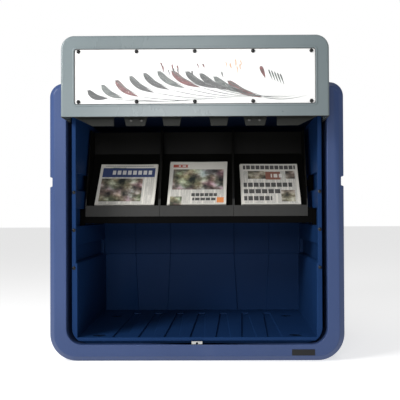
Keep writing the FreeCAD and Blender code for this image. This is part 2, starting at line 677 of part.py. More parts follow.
def end_wall_edge(one, other):
    """Picks the edges round the door's front and rear walls, but not their lower edges."""
    low = all(abs(end.z - amount("mating_height")) < 1e-3 for end in (one, other))
    at_end = any(all(abs(end.y - place) < 1e-3 for end in (one, other))
                 for place in (amount("door_front"), -amount("door_front")))
    return at_end and not low


def hollow_from_below(owner, wall):
    """Leaves a wall of even thickness and takes the lowest face away."""
    base = owner.Tip
    lowest = min(range(len(base.Shape.Faces)), key=lambda index: base.Shape.Faces[index].CenterOfMass.z)
    hollow = owner.newObject("PartDesign::Thickness", owner.Name + "_hollow")
    hollow.Base = (base, [f"Face{lowest + 1}"])
    hollow.Reversed = True
    hollow.Mode = "Skin"
    hollow.Join = "Arc"
    bind(hollow, Value=wall)
    doc.recompute()


def make_door_shell():
    door = new_body("door_shell")
    pad(door, "side", "-door_half", "door_half", [door_profile("0", "mating_height")])
    round_edges(door, "door_radius", sloping_edge)
    round_edges(door, "door_edge_radius", end_wall_edge)
    hollow_from_below(door, "door_wall")
    recess = rectangle("-poster_half", "poster_low", "poster_half", "poster_high")
    pocket(door, "across", "-door_front - 1", "poster_recess - door_front", [recess])
    window = rectangle("-window_half", "-window_near", "window_half", "window_far")
    cup = rectangle("-grip_half", "-grip_front", "grip_half", "-grip_back")
    top_plane = (f"-{DOOR_SLOPE}", DOOR_MIDDLE_TOP)
    pocket(door, "flat", "-2 * door_wall", "1", [window, cup], tilt=top_plane)
    bolt_holes = [(y, z, "arm_bolt_shank") for y, z in ARM_BOLT_SPOTS]
    pocket(door, "side", "-door_half - 1", "door_half + 1", circles=bolt_holes)
    screw_holes = [(x, z, "poster_screw_shank") for x, z in POSTER_SCREW_SPOTS]
    pocket(door, "across", "-door_front - 1", "door_wall - door_front - 1", circles=screw_holes)
    lock_hole = ("0", "-lock_y", "housing_radius")
    pocket(door, "flat", "door_rear_top", "header_top + 1", circles=[lock_hole])
    return keep(door)


def on_top_panel(piece, along, below):
    """Lies a box along the sloping top panel: along it, and below its outer face."""
    piece.Placement.Rotation = FreeCAD.Rotation(FreeCAD.Vector(1, 0, 0), 1)
    bind(piece, Placement__Rotation__Angle=f"-{DOOR_SLOPE}",
         Placement__Base__y=f"({along}) * cos({DOOR_SLOPE}) - ({below}) * sin({DOOR_SLOPE})",
         Placement__Base__z=f"{DOOR_MIDDLE_TOP} - ({along}) * sin({DOOR_SLOPE}) - ({below}) * cos({DOOR_SLOPE})")


def make_window():
    under = "door_wall + window_pane"
    pane = box("door_window", "-window_half - window_lap", "window_half + window_lap", "0",
               "window_near + window_far + 2 * window_lap", "0", "window_pane")
    on_top_panel(pane, "-window_near - window_lap", under)
    keep(pane)
    ring_under = f"{under} + gasket_depth"
    outer = box("gasket_outer", "-window_half - 2 * window_lap", "window_half + 2 * window_lap", "0",
                "window_near + window_far + 4 * window_lap - 2 * window_lap + 2 * window_lap", "0",
                "window_pane + gasket_depth")
    bind(outer, Width="window_near + window_far + 3 * window_lap")
    on_top_panel(outer, "-window_near - 1.5 * window_lap", ring_under)
    inner = box("gasket_inner", "-window_half", "window_half", "0", "window_near + window_far", "0",
                "window_pane + gasket_depth + 1")
    on_top_panel(inner, "-window_near", f"{ring_under} + 1")
    bind(inner, Height="window_pane + gasket_depth + 2")
    rebate = box("gasket_rebate", "-window_half - window_lap", "window_half + window_lap", "0",
                 "window_near + window_far + 2 * window_lap", "0", "window_pane + 1")
    on_top_panel(rebate, "-window_near - window_lap", under)
    return keep(cut("window_gasket", outer, [inner, rebate]))


def make_pull_handle():
    """A grip cup set into the top panel."""
    outer = box("cup_outer", "-grip_half", "grip_half", "0", "grip_front - grip_back", "0", "grip_cup_depth")
    on_top_panel(outer, "-grip_front", "grip_cup_depth")
    inner = box("cup_inner", "cup_wall - grip_half", "grip_half - cup_wall", "0",
                "grip_front - grip_back - 2 * cup_wall", "0", "grip_cup_depth")
    on_top_panel(inner, "cup_wall - grip_front", "grip_cup_depth - cup_wall")
    return keep(cut("pull_handle", outer, [inner]))


def make_seal():
    foot = "mating_height - seal_depth"
    outer = box("seal_outer", "-door_half", "door_half", "-door_front", "door_front", foot, "mating_height")
    inner = box("seal_inner", "door_wall - door_half", "door_half - door_wall", "door_wall - door_front",
                "door_front - door_wall", f"{foot} - 1", "mating_height + 1")
    return keep(cut("door_seal", outer, [inner]))


def make_poster():
    back = "poster_recess - door_front"
    cover_back = f"{back} - poster_sheet_depth"
    cover_front = f"{cover_back} - poster_cover_depth"
    shanks = []
    screws = []
    for index, (x, z) in enumerate(POSTER_SCREW_SPOTS, 1):
        shanks.append(cylinder(f"poster_shank_{index}", "y", (x, cover_front, z), "poster_screw_shank",
                               "poster_cover_depth + poster_sheet_depth"))
        screws.append(dome_screw(f"poster_screw_{index}", "-y", (x, cover_front, z), "poster_screw_radius",
                                 "poster_screw_height", "poster_screw_shank", "poster_screw_length"))
    holes = group("poster_shanks", shanks)
    sheet = box("poster_blank", "1 - poster_half", "poster_half - 1", cover_back, back,
                "poster_low + 1", "poster_high - 1")
    keep(cut("poster_sheet", sheet, [holes]))
    cover = box("cover_blank", "running_gap - poster_half", "poster_half - running_gap", cover_front,
                cover_back, "poster_low + running_gap", "poster_high - running_gap")
    keep(cut("poster_cover", cover, [holes]))
    return keep(group("poster_screws", screws))


RIBS = [("-515", "-340", "-430", "-340"), ("-300", "-200", "-290", "-210"), ("-140", "-57", "-132", "-65"),
        ("57", "140", "65", "132"), ("200", "300", "210", "290"), ("340", "515", "340", "430")]


RIB_BOLT_SPOTS = [(f"{side} * {across}", "mating_height - rib_bolt_drop")
                  for side in SIDES.values() for across in ("rib_bolt_near", "rib_bolt_far")]


def make_rib_panel():
    """Inner frame of the header: a strip with six downward ribs and a flange to the front wall."""
    panel = new_body("door_rib_frame")
    strip_foot = "mating_height + 6"
    start = "-rib_front"
    end = "rib_depth - rib_front"
    inside = "door_half - door_wall - 2"
    pad(panel, "across", start, end, [rectangle(f"-({inside})", strip_foot, inside, "rib_panel_top")])
    for top_left, top_right, foot_left, foot_right in RIBS:
        outline = [(foot_left, "mating_height - rib_reach"), (foot_right, "mating_height - rib_reach"),
                   (top_right, strip_foot + " + 1"), (top_left, strip_foot + " + 1")]
        pad(panel, "across", start, end, [outline])
    flange = rectangle("door_wall - door_front", "rib_panel_top - 6", "rib_depth - rib_front", "rib_panel_top")
    pad(panel, "side", f"-({inside})", inside, [flange])
    passage = ("0", "-rod_y", "rod_radius + 1")
    pocket(panel, "flat", "rib_panel_top - 10", "rib_panel_top + 1", circles=[passage])
    bolt_holes = [(x, z, "rib_bolt_shank") for x, z in RIB_BOLT_SPOTS]
    pocket(panel, "across", "-rib_front - 1", "rib_depth - 4 - rib_front", circles=bolt_holes)
    return keep(panel)


def make_rib_bolts():
    bolts = []
    for index, (x, z) in enumerate(RIB_BOLT_SPOTS, 1):
        bolts.append(dome_screw(f"rib_bolt_{index}", "-y", (x, "-rib_front", z), "rib_bolt_radius",
                                "rib_bolt_height", "rib_bolt_shank", "rib_depth - 4"))
    return keep(group("rib_bolts", bolts))


# ---------------------------------------------------------------- lock
def make_lock():
    centre = ("0", "-lock_y", "housing_foot")
    length = "housing_top - housing_foot"
    outer = cylinder("housing_outer", "z", centre, "housing_radius - 0.2", length)
    bore = cylinder("housing_bore", "z", centre, "barrel_radius + 0.2", length)
    keep(cut("lock_housing", outer, [bore]))
    barrel = cylinder("barrel_head", "z", centre, "barrel_radius", f"{length} - 1")
    stem_start = ("0", "-lock_y", "stem_end")
    stem = cylinder("barrel_stem", "z", stem_start, "stem_radius", "housing_foot - stem_end")
    slot = box("barrel_slot", "-8", "8", "-lock_y - 1.5", "1.5 - lock_y", "housing_top - 8", "housing_top")
    keep(cut("lock_barrel", fuse("barrel_solid", [barrel, stem]), [slot]))
    rod = cylinder("rod_bar", "z", ("0", "-rod_y", "rod_end"), "rod_radius", "carriage_top - rod_end")
    carriage = box("rod_carriage", "-12", "12", "-rod_y", "18 - lock_y", "carriage_top - carriage_height",
                   "carriage_top")
    eye = cylinder("rod_eye", "z", ("0", "-lock_y", "carriage_top - carriage_height - 1"),
                   "stem_radius + 0.4", "carriage_height + 2")
    keep(cut("latch_rod", fuse("rod_solid", [rod, carriage]), [eye]))
    guides = []
    for place, height in (("low", "low_guide"), ("high", "high_guide")):
        block = box(f"guide_block_{place}", "-guide_width / 2", "guide_width / 2", "door_wall - door_front",
                    "rod_radius + 6 - rod_y", height, f"{height} + guide_height")
        hole = cylinder(f"guide_hole_{place}", "z", ("0", "-rod_y", f"{height} - 1"), "rod_radius + 0.3",
                        "guide_height + 2")
        guides.append(cut(f"rod_guide_{place}", block, [hole]))
    keep(group("rod_guides", guides))


def make_keeper():
    foot = box("keeper_foot", "-keeper_half", "keeper_half", "-keeper_front", "-keeper_back",
               "sill_height - keeper_plate", "sill_height")
    upright = box("keeper_upright", "-keeper_half", "keeper_half", "-keeper_front",
                  "keeper_plate - keeper_front", "sill_height", "keeper_top")
    hole = cylinder("keeper_hole", "y", ("0", "-keeper_front - 1", "pivot_height - rod_y"),
                    "rod_radius + 0.8", "keeper_plate + 2")
    screws = []
    shanks = []
    for label, side in SIDES.items():
        spot = (f"{side} * keeper_screw_spread", "keeper_screw_back - keeper_front", "sill_height")
        shanks.append(cylinder(f"keeper_shank_{label}", "-z", spot, "keeper_screw_shank", "keeper_plate"))
        screws.append(dome_screw(f"keeper_screw_{label}", "z", spot, "keeper_screw_radius", "2",
                                 "keeper_screw_shank", "keeper_plate"))
    keep(cut("lock_keeper", fuse("keeper_solid", [foot, upright]), [hole] + shanks))
    keep(group("keeper_screws", screws))
    keep(box("name_plate", "badge_middle - badge_half", "badge_middle + badge_half",
             "-rim_front - badge_depth", "-rim_front", "badge_low", "badge_high"))


# ---------------------------------------------------------------- shelf
BIN_SLOPE = "((knee_height - ledge_height) / (ledge_back - bin_back))"
SLANT = f"sqrt(1 + {BIN_SLOPE}^2)"
RAIL_HALF = "bay_half - rail_end_gap"


def make_bin(label, index):
    tray = new_body(f"bin_{label}")
    middle = f"({index} * bin_width + shelf_offset)"
    half = "(bin_width - bin_gap) / 2"
    under_back = f"ledge_height + {BIN_SLOPE} * (ledge_back - bin_back + bin_wall) - bin_wall * {SLANT}"
    under_front = f"bin_wall * ({SLANT} - 1) / {BIN_SLOPE} - ledge_back"
    side_view = [("-bin_front", "bin_foot"), ("-bin_front", "lip_top"), ("-bin_cheek_top", "bin_top"),
                 ("bin_wall - bin_back", "bin_top"), ("bin_wall - bin_back", under_back),
                 (under_front, "ledge_height - bin_wall"), ("bin_wall - bin_front", "ledge_height - bin_wall"),
                 ("bin_wall - bin_front", "bin_foot")]
    pad(tray, "side", f"{middle} - {half}", f"{middle} + {half}", [side_view])
    inside = [("-bin_front - 9", "lip_top"), ("bin_wall - bin_front", "lip_top"),
              ("bin_wall - bin_front", "ledge_height"), ("-ledge_back", "ledge_height"),
              ("-bin_back", "knee_height"), ("-bin_back", "bin_top + 1"), ("-bin_front - 9", "bin_top + 1")]
    pocket(tray, "side", f"{middle} - {half} + bin_wall", f"{middle} + {half} - bin_wall", [inside])
    return keep(tray)


def make_paper(label, index):
    """A stack of newspapers that stands on the ledge and leans on the slope."""
    angle = f"atan({BIN_SLOPE})"
    stack = box(f"newspapers_{label}", f"{index} * bin_width + shelf_offset - paper_width / 2",
                f"{index} * bin_width + shelf_offset + paper_width / 2", "0", "paper_length", "0", "paper_stack")
    stack.Placement.Rotation = FreeCAD.Rotation(FreeCAD.Vector(1, 0, 0), 1)
    lift = "0.3"
    bind(stack, Placement__Rotation__Angle=angle,
         Placement__Base__y=f"-ledge_back - {lift} * sin({angle})",
         Placement__Base__z=f"ledge_height + {lift} + {lift} * cos({angle})")
    return keep(stack)


def make_shelf():
    for index, label in zip((-1, 0, 1), ("left", "centre", "right")):
        make_bin(label, index)
        make_paper(label, index)
    make_rail("front", "bin_wall - bin_front", "rail_depth", "bin_foot - rail_drop", "ledge_height - bin_wall",
              "slot_low + slot_pitch")
    rear_high = "slot_low + 2 * slot_pitch + slot_high_span - rear_rail_drop"
    touch = f"({rear_high} - ledge_height + bin_wall * {SLANT}) / {BIN_SLOPE} - ledge_back"
    make_rail("rear", touch, "rear_rail_depth", f"{rear_high} - rear_rail_height", rear_high,
              "slot_low + 2 * slot_pitch")


def make_rail(place, near, depth, low, high, slot_floor):
    """A square tube across the bay, and the blocks that carry its ends in the side slots."""
    far = f"{near} + {depth}"
    bar = box(f"{place}_rail_bar", f"-({RAIL_HALF})", RAIL_HALF, near, far, low, high)
    hollow = box(f"{place}_rail_hollow", f"-({RAIL_HALF}) - 1", f"{RAIL_HALF} + 1", f"{near} + rail_wall",
                 f"{far} - rail_wall", f"{low} + rail_wall", f"{high} - rail_wall")
    keep(cut(f"shelf_rail_{place}", bar, [hollow]))
    blocks = []
    for label, side in SIDES.items():
        inner, outer = (RAIL_HALF, "bay_half + slot_depth")
        if side < 0:
            inner, outer = f"-({outer})", f"-({inner})"
        blocks.append(box(f"{place}_block_{label}", inner, outer, f"{near} - block_lap", f"{far} + block_lap",
                          slot_floor, f"{slot_floor} + slot_high_span - 2"))
    keep(group(f"rail_blocks_{place}", blocks))


def make_liner_fixings():
    screws = []
    for index, (x, height) in enumerate(FIXING_SPOTS, 1):
        screws.append(dome_screw(f"liner_fixing_{index}", "-y", (x, "-liner_front", height), "dome_radius",
                                 "dome_height", "dome_shank", "dome_length"))
    return keep(group("liner_fixings", screws))


# ---------------------------------------------------------------- build, check and write
make_outer_shell()
make_inner_liner()
make_roof_panel()
for side_label, side_sign in SIDES.items():
    make_pivot(side_label, side_sign)
    make_door_arm(side_label, side_sign)
    make_stop(side_label, side_sign)
make_arm_bolts()
make_door_shell()
make_window()
make_pull_handle()
make_seal()
make_poster()
make_rib_panel()
make_rib_bolts()
make_lock()
make_keeper()
make_shelf()
make_liner_fixings()

doc.recompute()
failed = [item.Name for item in doc.Objects if {"Invalid", "Error"} & set(item.State)]
failed += [piece.Label for piece in MADE if piece.Shape.isNull() or not piece.Shape.isValid()]
if failed:
    raise RuntimeError("these did not build: " + ", ".join(failed))
os.makedirs("parts", exist_ok=True)
for piece in MADE:
    piece.Shape.exportStep(f"parts/{piece.Label}.step")
    print(f"{piece.Label:28s} solids {len(piece.Shape.Solids)}  volume {piece.Shape.Volume / 1000:10.1f} cm3")
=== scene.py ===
# %% [markdown]
# # A newspaper vending box
#
# A moulded blue cabinet stands on the ground. Inside it are a navy liner, a shelf of three bins with
# papers in them, and a large tray-shaped door that swings up and over about pivots in the sides. The door
# is shown raised, so its lower wall faces the reader and carries a framed poster.
#
# The hard shapes come ready from the engineering model. Here they get soft edges, real surfaces and the
# small things that an engineering model leaves out, such as folded papers, print and worn plastic.

# %% The frame
import json
import math
import random

import bmesh
import bpy
from mathutils import Matrix, Vector

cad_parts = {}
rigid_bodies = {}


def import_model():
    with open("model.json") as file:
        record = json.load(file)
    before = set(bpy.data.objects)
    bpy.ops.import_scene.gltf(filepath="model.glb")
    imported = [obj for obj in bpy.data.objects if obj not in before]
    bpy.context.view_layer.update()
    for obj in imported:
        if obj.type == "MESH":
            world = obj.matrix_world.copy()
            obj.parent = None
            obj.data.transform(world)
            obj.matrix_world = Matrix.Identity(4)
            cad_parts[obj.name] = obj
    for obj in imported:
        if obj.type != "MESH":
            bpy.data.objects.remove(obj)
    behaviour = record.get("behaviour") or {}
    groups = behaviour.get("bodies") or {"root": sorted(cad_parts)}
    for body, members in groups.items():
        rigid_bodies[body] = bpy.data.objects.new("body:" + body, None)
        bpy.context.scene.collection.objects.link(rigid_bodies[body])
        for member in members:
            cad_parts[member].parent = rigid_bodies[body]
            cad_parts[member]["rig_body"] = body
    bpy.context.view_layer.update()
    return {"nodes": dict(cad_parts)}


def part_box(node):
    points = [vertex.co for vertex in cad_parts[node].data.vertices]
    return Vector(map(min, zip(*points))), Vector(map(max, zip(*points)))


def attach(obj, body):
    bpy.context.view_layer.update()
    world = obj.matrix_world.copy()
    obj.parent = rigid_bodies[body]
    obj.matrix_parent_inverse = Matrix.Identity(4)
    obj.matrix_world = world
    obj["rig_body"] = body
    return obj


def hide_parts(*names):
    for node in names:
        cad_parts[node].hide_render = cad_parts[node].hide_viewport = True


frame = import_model()
NODES = frame["nodes"]
chance = random.Random(27)
print("the frame has", len(NODES), "nodes")

# %% [markdown]
# ## Reading places from the frame
#
# Every piece goes where the engineering model says. A node's box has a lowest and a highest corner, and
# this small helper returns them as six plain numbers, because most pieces are set out from one or two
# edges.

# %% Places
def reach(node):
    """Left, right, front, back, foot and top of a node, in metres."""
    low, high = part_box(node)
    return low.x, high.x, low.y, high.y, low.z, high.z


SHELL = reach("outer_shell")
POSTER = reach("poster_cover")
print("the cabinet is", round(SHELL[1] - SHELL[0], 3), "wide and", round(SHELL[5], 3), "high")

# %% [markdown]
# ## Wiring a material
#
# A Principled shader holds every finish. Numbers that are the same all over a surface are set on its
# sockets, and patterns are wired into them. Writing nodes by hand is long, so one small class stands for
# a socket that can be added, multiplied and compared like a number, and another makes any node from its
# type, its settings and what its sockets hold.

# %% A socket that can be used in sums
class Wire:
    def __init__(self, board, socket):
        self.board = board
        self.socket = socket

    def sum(self, operation, *others, first=None):
        return self.board.node("ShaderNodeMath", {"operation": operation},
                               dict(enumerate([self if first is None else first, *others])))

    def __add__(self, other):
        return self.sum("ADD", other)

    def __radd__(self, other):
        return self.sum("ADD", other)

    def __sub__(self, other):
        return self.sum("SUBTRACT", other)

    def __rsub__(self, other):
        return self.sum("SUBTRACT", self, first=other)

    def __mul__(self, other):
        return self.sum("MULTIPLY", other)

    def __rmul__(self, other):
        return self.sum("MULTIPLY", other)

    def __truediv__(self, other):
        return self.sum("DIVIDE", other)

    def __mod__(self, other):
        return self.sum("FLOORED_MODULO", other)

    def __gt__(self, other):
        return self.sum("GREATER_THAN", other)

    def __lt__(self, other):
        return self.sum("LESS_THAN", other)

    def __abs__(self):
        return self.sum("ABSOLUTE")


# %% A board of nodes
class Board:
    """A material whose constant values are set on its shader by name."""

    def __init__(self, name, **constants):
        self.material = bpy.data.materials.new(name)
        self.material.use_nodes = True
        self.shader = self.material.node_tree.nodes["Principled BSDF"]
        for socket, value in constants.items():
            self.shader.inputs[socket.replace("_", " ")].default_value = value

    def node(self, kind, settings=None, sockets=None, output=0):
        made = self.material.node_tree.nodes.new(kind)
        for setting, value in (settings or {}).items():
            if setting == "stops":
                ramp = made.color_ramp.elements
                while len(ramp) < len(value):
                    ramp.new(0.5)
                for stop, (place, shade) in zip(ramp, value):
                    stop.position = place
                    stop.color = (*shade, 1) if isinstance(shade, tuple) else (shade, shade, shade, 1)
            else:
                setattr(made, setting, value)
        for socket, value in (sockets or {}).items():
            self.feed(made.inputs[socket], value)
        return Wire(self, made.outputs[output])

    def feed(self, socket, value):
        if isinstance(value, Wire):
            self.material.node_tree.links.new(value.socket, socket)
        else:
            colour = isinstance(value, tuple) and socket.type == "RGBA"
            socket.default_value = (*value, 1) if colour else value

    def finish(self, **wires):
        for socket, wire in wires.items():
            self.feed(self.shader.inputs[socket.replace("_", " ")], wire)
        return self.material

    def place(self):
        return self.node("ShaderNodeTexCoord", output="Object")

    def along(self, axis):
        return self.node("ShaderNodeSeparateXYZ", sockets={"Vector": self.place()}, output=axis)

    def stretch(self, x, y, z):
        return self.node("ShaderNodeMapping", sockets={"Vector": self.place(), "Scale": (x, y, z)})

    def clouds(self, scale, detail=2.0, rough=0.5, at=None):
        sockets = {"Vector": at or self.place(), "Scale": scale, "Detail": detail, "Roughness": rough}
        return self.node("ShaderNodeTexNoise", None, sockets)

    def ramp(self, factor, *stops):
        return self.node("ShaderNodeValToRGB", {"stops": stops}, {"Fac": factor})

    def blend(self, factor, first, second, way="MIX"):
        return self.node("ShaderNodeMix", {"data_type": "RGBA", "blend_type": way},
                         {"Factor": factor, 6: first, 7: second}, output=2)

    def bump(self, height, strength, depth=0.001):
        sockets = {"Height": height, "Strength": strength, "Distance": depth}
        return self.node("ShaderNodeBump", None, sockets)


# %% [markdown]
# ## Moulded plastic
#
# The cabinet, liner, bins and door are rotationally moulded polyethylene. Its skin is waxy, with a fine
# orange peel, a slightly uneven colour, and pale scuffs and dust where feet and rain reach it. Three
# noises at three sizes give those: a broad one for the colour, a middle one for the scuffs and a fine one
# for the bump.

# %% Plastics
# The floor's four dimples, where shade is painted below a given height.
DIMPLE_ASIDE = 0.430
DIMPLE_ROWS = (-0.346, 0.134)
DIMPLE_SHADE_TOP = 0.2


def darken_dimples(board, colour, radius):
    """Painted shade: the four dimples of the floor are darkened nearly to black."""
    x, y = board.along("X"), board.along("Y")
    aside = (x * x - DIMPLE_ASIDE ** 2) / (2 * DIMPLE_ASIDE)
    low = board.along("Z") < DIMPLE_SHADE_TOP
    for row in DIMPLE_ROWS:
        along = y - row
        near = (aside * aside + along * along) < radius ** 2
        colour = board.blend(near * low * 0.85, colour, (0.002, 0.003, 0.005))
    return colour


def moulded(name, colour, rough, peel=0.35, scuff=0.25, shine=0.3, lip_highlight=None, dimple_shade_radius=0.0):
    """A moulded finish. In front of a given depth a painted highlight turns it a paler grey, and the last
    argument is the radius of the painted shade in the floor's dimples."""
    board = Board(name, Specular_IOR_Level=shine)
    broad = board.clouds(2.6, 3)
    deep = tuple(channel * 0.86 for channel in colour)
    pale = tuple(channel * 1.14 for channel in colour)
    tint = board.blend(broad, deep, pale)
    streaks = board.clouds(9, 6, 0.7, board.stretch(1.0, 1.0, 0.35))
    scratches = board.clouds(60, 5, 0.75, board.stretch(1.0, 1.0, 0.12))
    worn = board.ramp(streaks, (0.50, 0.0), (0.85, 1.0)) * scratches * scuff
    scuffs_and_painted_light = board.blend(worn, tint, tuple(channel * 0.8 + 0.09 for channel in colour))
    # Painted highlight: in front of the given depth the colour is painted a paler grey, broken up by the
    # scratch noise.
    if lip_highlight:
        front, grey = lip_highlight
        highlight_mask = (board.along("Y") < front) * (0.75 + scratches * 0.5)
        scuffs_and_painted_light = board.blend(highlight_mask, scuffs_and_painted_light, (grey, grey, grey * 0.97))
    # Painted shade in the floor's dimples.
    if dimple_shade_radius:
        scuffs_and_painted_light = darken_dimples(board, scuffs_and_painted_light, dimple_shade_radius)
    fine = board.clouds(420, 2, 0.6)
    dents = board.clouds(14, 2)
    normal = board.bump(fine * 0.5 + dents * 1.4, peel)
    gloss = rough - 0.06 + broad * 0.08 + worn * 0.4
    return board.finish(Base_Color=scuffs_and_painted_light, Roughness=gloss, Normal=normal)

# %% The plastics
BLUE = moulded("blue moulding", (0.034, 0.060, 0.155), 0.38, scuff=0.2, shine=0.3)
# The navy liner carries painted shade in its floor's dimples.
NAVY = moulded("navy moulding", (0.008, 0.030, 0.098), 0.42, scuff=0.015, shine=0.05,
               dimple_shade_radius=0.029)
# The bins get a painted highlight along the front of their lip.
BIN_BLACK = moulded("bin black", (0.0035, 0.0035, 0.003), 0.5, scuff=0.03, shine=0.08,
                    lip_highlight=(-0.229, 0.04))
# The roof panel is the liner's navy darkened almost to black: painted shade under the raised door.
SHADED_ROOF_NAVY = moulded("roof navy painted shade", (0.0015, 0.004, 0.013), 0.6, scuff=0.01, shine=0.05)
RAIL_BLACK = moulded("rail black", (0.0022, 0.0022, 0.0022), 0.7, scuff=0.01, shine=0.03)
DOOR_GREY = moulded("door grey", (0.140, 0.172, 0.180), 0.30, peel=0.12, scuff=0.12, shine=0.5)
FRAME_GREY = moulded("rib grey", (0.016, 0.017, 0.015), 0.46, scuff=0.15, shine=0.15)
BLACK = moulded("black plastic", (0.008, 0.008, 0.0085), 0.3, peel=0.2, scuff=0.1)
ACETAL = moulded("white bearing", (0.62, 0.61, 0.57), 0.35, peel=0.1, scuff=0.1)
print("plastics made:", [m.name for m in bpy.data.materials])

# %% [markdown]
# ## Metal, rubber and clear sheet
#
# Zinc plating is patchy at the size of a thumbnail, and powder coat has its own small peel. Rubber is
# matt and dusty. The poster cover and the window are clear polycarbonate, which shows mostly by its
# reflection, so they are made of a transparent shader whose alpha rises a little where the sheet is
# dusty.

# %% Metals, rubber and sheet
def plated(name, colour, rough, metal=1.0):
    board = Board(name, Metallic=metal)
    grain = board.node("ShaderNodeTexVoronoi", {"feature": "F1"},
                       {"Vector": board.place(), "Scale": 220.0})
    stain = board.clouds(36, 4, 0.6)
    tint = board.blend(stain, tuple(channel * 0.7 for channel in colour), colour)
    return board.finish(Base_Color=tint, Roughness=rough + stain * 0.14 + grain * 0.1,
                        Normal=board.bump(grain + stain, 0.12, 0.0005))


def rubber(name, colour):
    board = Board(name, Specular_IOR_Level=0.3)
    dust = board.clouds(70, 6, 0.7)
    tint = board.blend(dust * 0.35, colour, (0.11, 0.11, 0.105))
    grain = board.bump(board.clouds(700, 2), 0.3, 0.0004)
    return board.finish(Base_Color=tint, Roughness=0.72 + dust * 0.2, Normal=grain)


def clear_sheet(name, haze):
    board = Board(name, IOR=1.5, Roughness=0.06, Specular_IOR_Level=0.5)
    dust = board.clouds(28, 7, 0.75)
    wipes = board.clouds(16, 4, 0.6, board.stretch(0.3, 1.0, 1.6))
    alpha = haze + (dust > 0.62) * 0.03 + wipes * 0.03
    tint = board.blend(dust, (0.86, 0.89, 0.91), (0.95, 0.95, 0.94))
    return board.finish(Base_Color=tint, Alpha=alpha, Roughness=0.05 + dust * 0.1)


ZINC = plated("zinc plating", (0.58, 0.58, 0.56), 0.24)
DULL_STEEL = plated("dull bolt steel", (0.12, 0.12, 0.115), 0.34)
POWDER = plated("black powder coat", (0.02, 0.02, 0.022), 0.42, metal=0.0)
RUBBER = rubber("black rubber", (0.014, 0.014, 0.015))
CLEAR = clear_sheet("clear cover", 0.05)
PANE = clear_sheet("clear pane", 0.16)
print("finishes made in all:", len(bpy.data.materials))

# %% [markdown]
# ## Softening an engineering shape
#
# Real mouldings have no knife edges, and it is the light caught on a rounded edge that shows what a thing
# is made of. A copy of the engineering mesh is merged, its flat faces are joined, and its sharp edges are
# bevelled with a bmesh operator. A weighted normal then keeps the flats flat. The original is hidden, and
# the copy replaces it. Moving the original isn't allowed, so the copy replaces it.

# %% Softened copies
def new_piece(bm, name, material, body):
    mesh = bpy.data.meshes.new(name)
    bm.to_mesh(mesh)
    bm.free()
    made = bpy.data.objects.new(name, mesh)
    bpy.context.scene.collection.objects.link(made)
    for one in material if isinstance(material, list) else [material]:
        mesh.materials.append(one)
    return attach(made, body)


def smooth(made, angle=38):
    made.data.shade_smooth()
    made.data.set_sharp_from_angle(angle=math.radians(angle))
    weigh = made.modifiers.new("even light", "WEIGHTED_NORMAL")
    weigh.keep_sharp = True
    return made


def merged_copy(node, join=True):
    bm = bmesh.new()
    bm.from_mesh(NODES[node].data)
    bmesh.ops.remove_doubles(bm, verts=bm.verts[:], dist=2e-6)
    if join:
        bmesh.ops.dissolve_limit(bm, angle_limit=math.radians(0.6), verts=bm.verts[:], edges=bm.edges[:])
    return bm


def body_of(node):
    return NODES[node]["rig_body"]


SHORTEST_EDGE = 2.2


def soften(node, material, width, segments=2, sharp=34, join=True):
    """A copy of a node with its sharp edges rounded by width."""
    bm = merged_copy(node, join)
    least = math.radians(sharp)
    edges = [edge for edge in bm.edges if edge.is_manifold and edge.calc_face_angle(0) > least
             and edge.calc_length() > width * SHORTEST_EDGE]
    bmesh.ops.bevel(bm, geom=edges, offset=width, offset_type="OFFSET", segments=segments, profile=0.5,
                    affect="EDGES", clamp_overlap=False, material=-1)
    made = new_piece(bm, node + ".soft", material, body_of(node))
    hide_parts(node)
    print(node, "softened on", len(edges), "edges,", len(made.data.polygons), "faces")
    return smooth(made)


def refinish(material, *nodes):
    """The engineering shape stays, and only its surface is changed."""
    for node in nodes:
        NODES[node].data.materials.clear()
        NODES[node].data.materials.append(material)
        NODES[node].data.shade_smooth()
        NODES[node].data.set_sharp_from_angle(angle=math.radians(32))
    print(len(nodes), "nodes now have", material.name)


# %% [markdown]
# ## Cabinet, liner and roof
#
# The outer cabinet is one thick moulding with a chamfered rim, so its edges are the roundest of all. The
# liner sits inside it, and the thin roof panel closes the top. The papers' shelf hangs between the
# liner's walls.

# %% Cabinet and liner
soften("outer_shell", BLUE, 0.0035, 3)
soften("inner_liner", NAVY, 0.0022, 2, join=False)
# The roof panel gets the darkened navy, as painted shade.
soften("roof_panel", SHADED_ROOF_NAVY, 0.002, 2)
soften("name_plate", BLACK, 0.0007, 2)

# %% [markdown]
# ## Door
#
# The door is a deep tray, seen from below when it is open. Its lower wall is the wide header with the
# poster in a shallow recess. The ribbed frame behind it stiffens the opening, and it shows as a row of
# dark teeth below the header.

# %% Door
soften("door_shell", DOOR_GREY, 0.0016, 2)
soften("door_rib_frame", FRAME_GREY, 0.0022, 2)
soften("pull_handle", BLACK, 0.0015, 2)
soften("window_gasket", RUBBER, 0.0012, 2)
soften("door_seal", RUBBER, 0.0004, 2)
refinish(PANE, "door_window")

# %% [markdown]
# ## Sheets that touch
#
# The clear cover lies flat on the poster. Where two faces share one plane, a ray can't tell which of them
# it meets first, and the poster turns dark in patches. So the cover's back and the poster's front are
# each drawn in by less than a millimetre, which opens a gap too thin to see.

# %% Sheets that touch
COVER_GAP = 0.0008
SHEET_GAP = 0.0002


def thin_sheet(node, material, back):
    """A copy of a sheet whose front, or whose back, is drawn in."""
    bm = merged_copy(node)
    low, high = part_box(node)
    middle = (low.y + high.y) / 2
    for vert in bm.verts:
        if back and vert.co.y > middle:
            vert.co.y -= COVER_GAP
        if not back and vert.co.y < middle:
            vert.co.y += SHEET_GAP
    made = new_piece(bm, node + ".sheet", material, body_of(node))
    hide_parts(node)
    print(node, "has", len(made.data.polygons), "faces")
    return smooth(made)


thin_sheet("poster_cover", CLEAR, True)

